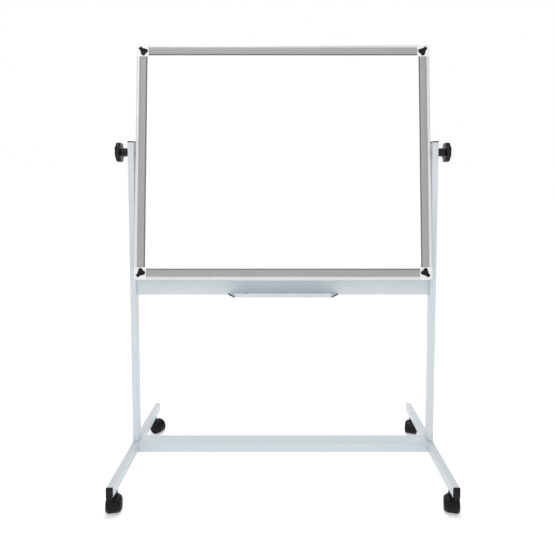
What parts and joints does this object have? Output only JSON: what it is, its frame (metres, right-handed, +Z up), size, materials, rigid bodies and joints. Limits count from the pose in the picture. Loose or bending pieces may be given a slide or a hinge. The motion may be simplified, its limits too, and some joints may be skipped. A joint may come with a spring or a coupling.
{
  "type": "rolling whiteboard",
  "caption": "Reversible whiteboard in an aluminium frame, pivoting between the uprights of a white steel stand with knobs, a pen tray and swivel casters",
  "frame": {"origin": "on the floor, midway between the uprights and midway between the legs' ends", "axes": "+X to the right seen from the front, +Y to the back, +Z up; the board turns about an axis along X through (0, 0, 1.314 m), and rests with its lower edge 6 degrees forward"},
  "size_m": [1.3516, 0.672, 1.7565],
  "materials": {
    "white_paint": "smooth semi-gloss powder coat",
    "anodised_aluminium": "fine-drawn, matt anodised",
    "white_lacquer": "gloss lacquered writing surface",
    "grey_plastic": "moulded, slightly glossy",
    "black_trim": "fine-grained",
    "black_gloss": "glossy moulded",
    "caster_plastic": "satin moulded nylon",
    "wheel_plastic": "scuffed tread",
    "nylon": "plain moulded",
    "zinc_steel": "zinc plated",
    "brass": "turned",
    "fibreboard": "raw pressed board"
  },
  "bodies": {
    "stand": {"left_leg": "white_paint", "right_leg": "white_paint", "left_upright": "white_paint", "right_upright": "white_paint", "base_cross_member": "white_paint", "upper_crossbar": "white_paint", "pen_tray": "white_paint", "tray_end_caps": "black_trim", "tray_screws": "zinc_steel", "crossbar_bolts": "zinc_steel", "base_bolts": "zinc_steel", "foot_bolts": "zinc_steel", "crossbar_end_plugs": "nylon", "base_end_plugs": "nylon", "upright_foot_plugs": "nylon", "leg_end_caps": "black_trim", "upright_top_caps": "black_trim", "pivot_bushes": "nylon", "caster_stems": "zinc_steel"},
    "board": {"front_panel": "white_lacquer", "rear_panel": "white_lacquer", "core_board": "fibreboard", "top_rail": "anodised_aluminium", "bottom_rail": "anodised_aluminium", "left_rail": "anodised_aluminium", "right_rail": "anodised_aluminium", "top_left_corner_cap": "grey_plastic", "top_right_corner_cap": "grey_plastic", "bottom_left_corner_cap": "grey_plastic", "bottom_right_corner_cap": "grey_plastic", "corner_covers": "black_trim", "corner_brackets": "zinc_steel", "left_pivot_plate": "zinc_steel", "right_pivot_plate": "zinc_steel", "pivot_plate_screws": "zinc_steel", "pivot_spacers": "nylon"},
    "left_knob_body": {"left_knob": "black_gloss", "left_knob_insert": "brass", "left_knob_washer": "zinc_steel"},
    "right_knob_body": {"right_knob": "black_gloss", "right_knob_insert": "brass", "right_knob_washer": "zinc_steel"},
    "front_left_swivel_body": {"front_left_caster_housing": "caster_plastic", "front_left_caster_axle": "zinc_steel"},
    "front_left_left_wheel_body": {"front_left_caster_left_wheel": "wheel_plastic"},
    "front_left_right_wheel_body": {"front_left_caster_right_wheel": "wheel_plastic"},
    "front_left_brake_pedal_body": {"front_left_brake_pedal": "caster_plastic"},
    "front_right_swivel_body": {"front_right_caster_housing": "caster_plastic", "front_right_caster_axle": "zinc_steel"},
    "front_right_left_wheel_body": {"front_right_caster_left_wheel": "wheel_plastic"},
    "front_right_right_wheel_body": {"front_right_caster_right_wheel": "wheel_plastic"},
    "front_right_brake_pedal_body": {"front_right_brake_pedal": "caster_plastic"},
    "rear_left_swivel_body": {"rear_left_caster_housing": "caster_plastic", "rear_left_caster_axle": "zinc_steel"},
    "rear_left_left_wheel_body": {"rear_left_caster_left_wheel": "wheel_plastic"},
    "rear_left_right_wheel_body": {"rear_left_caster_right_wheel": "wheel_plastic"},
    "rear_right_swivel_body": {"rear_right_caster_housing": "caster_plastic", "rear_right_caster_axle": "zinc_steel"},
    "rear_right_left_wheel_body": {"rear_right_caster_left_wheel": "wheel_plastic"},
    "rear_right_right_wheel_body": {"rear_right_caster_right_wheel": "wheel_plastic"}
  },
  "joints": [
    {"name": "board_flip", "type": "hinge", "parent": "stand", "child": "board", "pos_m": [0, 0, 1.314], "axis": [1, 0, 0], "continuous": true},
    {"name": "left_knob_turn", "type": "hinge", "parent": "board", "child": "left_knob_body", "pos_m": [-0.65, 0, 1.314], "axis": [-1, 0, 0], "continuous": true},
    {"name": "right_knob_turn", "type": "hinge", "parent": "board", "child": "right_knob_body", "pos_m": [0.65, 0, 1.314], "axis": [1, 0, 0], "continuous": true},
    {"name": "front_left_swivel", "type": "hinge", "parent": "stand", "child": "front_left_swivel_body", "pos_m": [-0.6165, -0.279, 0.06], "axis": [0, 0, 1], "continuous": true},
    {"name": "front_left_left_wheel_spin", "type": "hinge", "parent": "front_left_swivel_body", "child": "front_left_left_wheel_body", "pos_m": [-0.61303, -0.2987, 0.028], "axis": [0.9848, 0.1736, 0], "continuous": true},
    {"name": "front_left_right_wheel_spin", "type": "hinge", "parent": "front_left_swivel_body", "child": "front_left_right_wheel_body", "pos_m": [-0.61303, -0.2987, 0.028], "axis": [0.9848, 0.1736, 0], "continuous": true},
    {"name": "front_left_brake_pedal_press", "type": "hinge", "parent": "front_left_swivel_body", "child": "front_left_brake_pedal_body", "pos_m": [-0.60955, -0.31839, 0.055], "axis": [0.9848, 0.1736, 0], "range_deg": [0, 18]},
    {"name": "front_right_swivel", "type": "hinge", "parent": "stand", "child": "front_right_swivel_body", "pos_m": [0.6165, -0.279, 0.06], "axis": [0, 0, 1], "continuous": true},
    {"name": "front_right_left_wheel_spin", "type": "hinge", "parent": "front_right_swivel_body", "child": "front_right_left_wheel_body", "pos_m": [0.61166, -0.29841, 0.028], "axis": [0.9703, -0.2419, 0], "continuous": true},
    {"name": "front_right_right_wheel_spin", "type": "hinge", "parent": "front_right_swivel_body", "child": "front_right_right_wheel_body", "pos_m": [0.61166, -0.29841, 0.028], "axis": [0.9703, -0.2419, 0], "continuous": true},
    {"name": "front_right_brake_pedal_press", "type": "hinge", "parent": "front_right_swivel_body", "child": "front_right_brake_pedal_body", "pos_m": [0.60682, -0.31781, 0.055], "axis": [0.9703, -0.2419, 0], "range_deg": [0, 18]},
    {"name": "rear_left_swivel", "type": "hinge", "parent": "stand", "child": "rear_left_swivel_body", "pos_m": [-0.6165, 0.279, 0.06], "axis": [0, 0, 1], "continuous": true},
    {"name": "rear_left_left_wheel_spin", "type": "hinge", "parent": "rear_left_swivel_body", "child": "rear_left_left_wheel_body", "pos_m": [-0.59884, 0.26961, 0.028], "axis": [0.4695, 0.8829, 0], "continuous": true},
    {"name": "rear_left_right_wheel_spin", "type": "hinge", "parent": "rear_left_swivel_body", "child": "rear_left_right_wheel_body", "pos_m": [-0.59884, 0.26961, 0.028], "axis": [0.4695, 0.8829, 0], "continuous": true},
    {"name": "rear_right_swivel", "type": "hinge", "parent": "stand", "child": "rear_right_swivel_body", "pos_m": [0.6165, 0.279, 0.06], "axis": [0, 0, 1], "continuous": true},
    {"name": "rear_right_left_wheel_spin", "type": "hinge", "parent": "rear_right_swivel_body", "child": "rear_right_left_wheel_body", "pos_m": [0.60966, 0.26021, 0.028], "axis": [0.9397, -0.342, 0], "continuous": true},
    {"name": "rear_right_right_wheel_spin", "type": "hinge", "parent": "rear_right_swivel_body", "child": "rear_right_right_wheel_body", "pos_m": [0.60966, 0.26021, 0.028], "axis": [0.9397, -0.342, 0], "continuous": true}
  ]
}
